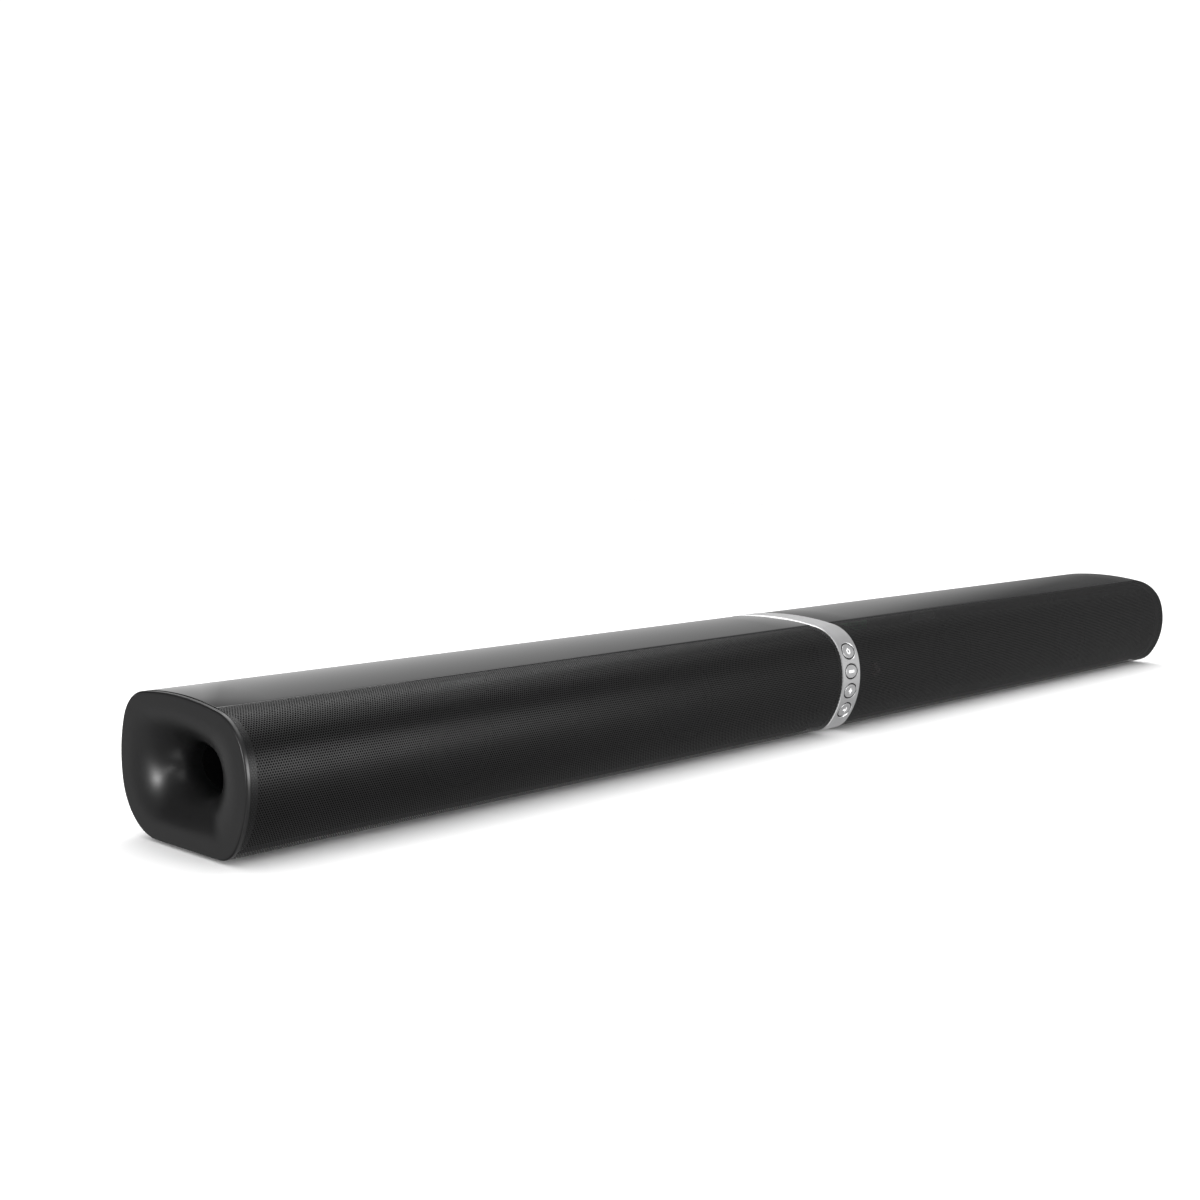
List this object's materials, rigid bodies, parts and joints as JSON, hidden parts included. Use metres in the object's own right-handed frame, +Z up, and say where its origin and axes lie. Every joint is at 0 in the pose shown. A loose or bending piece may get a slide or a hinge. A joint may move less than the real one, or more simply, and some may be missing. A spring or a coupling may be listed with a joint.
{
  "type": "soundbar",
  "caption": "Long rounded soundbar with wrap-round grilles, gloss top panels, a central silver button ring and a flared bass port in each end.",
  "frame": {"origin": "centre of the bounding box, on the surface that the rubber feet stand on", "axes": "+X along the bar to the listener's right seen from the front, -Y out of the front, +Z up"},
  "size_m": [0.94, 0.1116, 0.0759],
  "materials": {
    "gloss_top": "piano black, polished",
    "satin_cap": "satin black moulded",
    "rear_shell": "fine spark-eroded texture, black",
    "grille": "satin black powder coat, perforated",
    "silver_ring": "satin silver with bright chamfers",
    "button": "silver painted, white icons",
    "inner_plastic": "plain moulded",
    "baffle": "black faced fibreboard",
    "circuit_board": "green solder mask",
    "switch": "moulded black",
    "steel": "zinc plated",
    "magnet": "ferrite, dark grey",
    "cone": "coated paper, matt",
    "rubber": "matt black",
    "heatsink": "anodised",
    "capacitor": "shrink sleeve",
    "lead": "sheathed twin lead"
  },
  "bodies": {
    "housing": {"left_top_panel": "gloss_top", "right_top_panel": "gloss_top", "left_end_cap": "satin_cap", "right_end_cap": "satin_cap", "io_panel": "satin_cap", "left_rear_shell": "rear_shell", "right_rear_shell": "rear_shell", "left_grille": "grille", "right_grille": "grille", "control_ring": "silver_ring", "centre_frame": "inner_plastic", "left_bulkhead": "inner_plastic", "right_bulkhead": "inner_plastic", "left_port_tube": "inner_plastic", "right_port_tube": "inner_plastic", "left_baffle": "baffle", "right_baffle": "baffle", "button_board": "circuit_board", "main_board": "circuit_board", "power_switch": "switch", "minus_switch": "switch", "plus_switch": "switch", "source_switch": "switch", "dc_jack": "switch", "aux_jack": "switch", "coaxial_jack": "switch", "optical_jack": "switch", "ir_receiver": "switch", "left_inner_basket": "steel", "left_outer_basket": "steel", "right_inner_basket": "steel", "right_outer_basket": "steel", "left_hanger_plate": "steel", "right_hanger_plate": "steel", "wireless_module": "steel", "left_inner_magnet": "magnet", "left_outer_magnet": "magnet", "right_inner_magnet": "magnet", "right_outer_magnet": "magnet", "left_inner_surround": "rubber", "left_outer_surround": "rubber", "right_inner_surround": "rubber", "right_outer_surround": "rubber", "left_front_foot": "rubber", "left_back_foot": "rubber", "right_front_foot": "rubber", "right_back_foot": "rubber", "heatsink": "heatsink", "filter_capacitor_a": "capacitor", "filter_capacitor_b": "capacitor", "left_speaker_lead": "lead", "right_speaker_lead": "lead"},
    "power_button": {"power_button": "button"},
    "minus_button": {"minus_button": "button"},
    "plus_button": {"plus_button": "button"},
    "source_button": {"source_button": "button"},
    "left_inner_cone": {"left_inner_cone": "cone"},
    "left_outer_cone": {"left_outer_cone": "cone"},
    "right_inner_cone": {"right_inner_cone": "cone"},
    "right_outer_cone": {"right_outer_cone": "cone"}
  },
  "joints": [
    {"name": "power_press", "type": "slide", "parent": "housing", "child": "power_button", "axis": [0, 1, 0], "range_m": [0, 0.0007], "stiffness_N_per_m": 900, "springref_m": -0.0003},
    {"name": "minus_press", "type": "slide", "parent": "housing", "child": "minus_button", "axis": [0, 1, 0], "range_m": [0, 0.0007], "stiffness_N_per_m": 900, "springref_m": -0.0003},
    {"name": "plus_press", "type": "slide", "parent": "housing", "child": "plus_button", "axis": [0, 1, 0], "range_m": [0, 0.0007], "stiffness_N_per_m": 900, "springref_m": -0.0003},
    {"name": "source_press", "type": "slide", "parent": "housing", "child": "source_button", "axis": [0, 1, 0], "range_m": [0, 0.0007], "stiffness_N_per_m": 900, "springref_m": -0.0003},
    {"name": "left_inner_cone_stroke", "type": "slide", "parent": "housing", "child": "left_inner_cone", "axis": [0, 1, 0], "range_m": [-0.0015, 0.0015], "stiffness_N_per_m": 1200},
    {"name": "left_outer_cone_stroke", "type": "slide", "parent": "housing", "child": "left_outer_cone", "axis": [0, 1, 0], "range_m": [-0.0015, 0.0015], "stiffness_N_per_m": 1200},
    {"name": "right_inner_cone_stroke", "type": "slide", "parent": "housing", "child": "right_inner_cone", "axis": [0, 1, 0], "range_m": [-0.0015, 0.0015], "stiffness_N_per_m": 1200},
    {"name": "right_outer_cone_stroke", "type": "slide", "parent": "housing", "child": "right_outer_cone", "axis": [0, 1, 0], "range_m": [-0.0015, 0.0015], "stiffness_N_per_m": 1200}
  ]
}
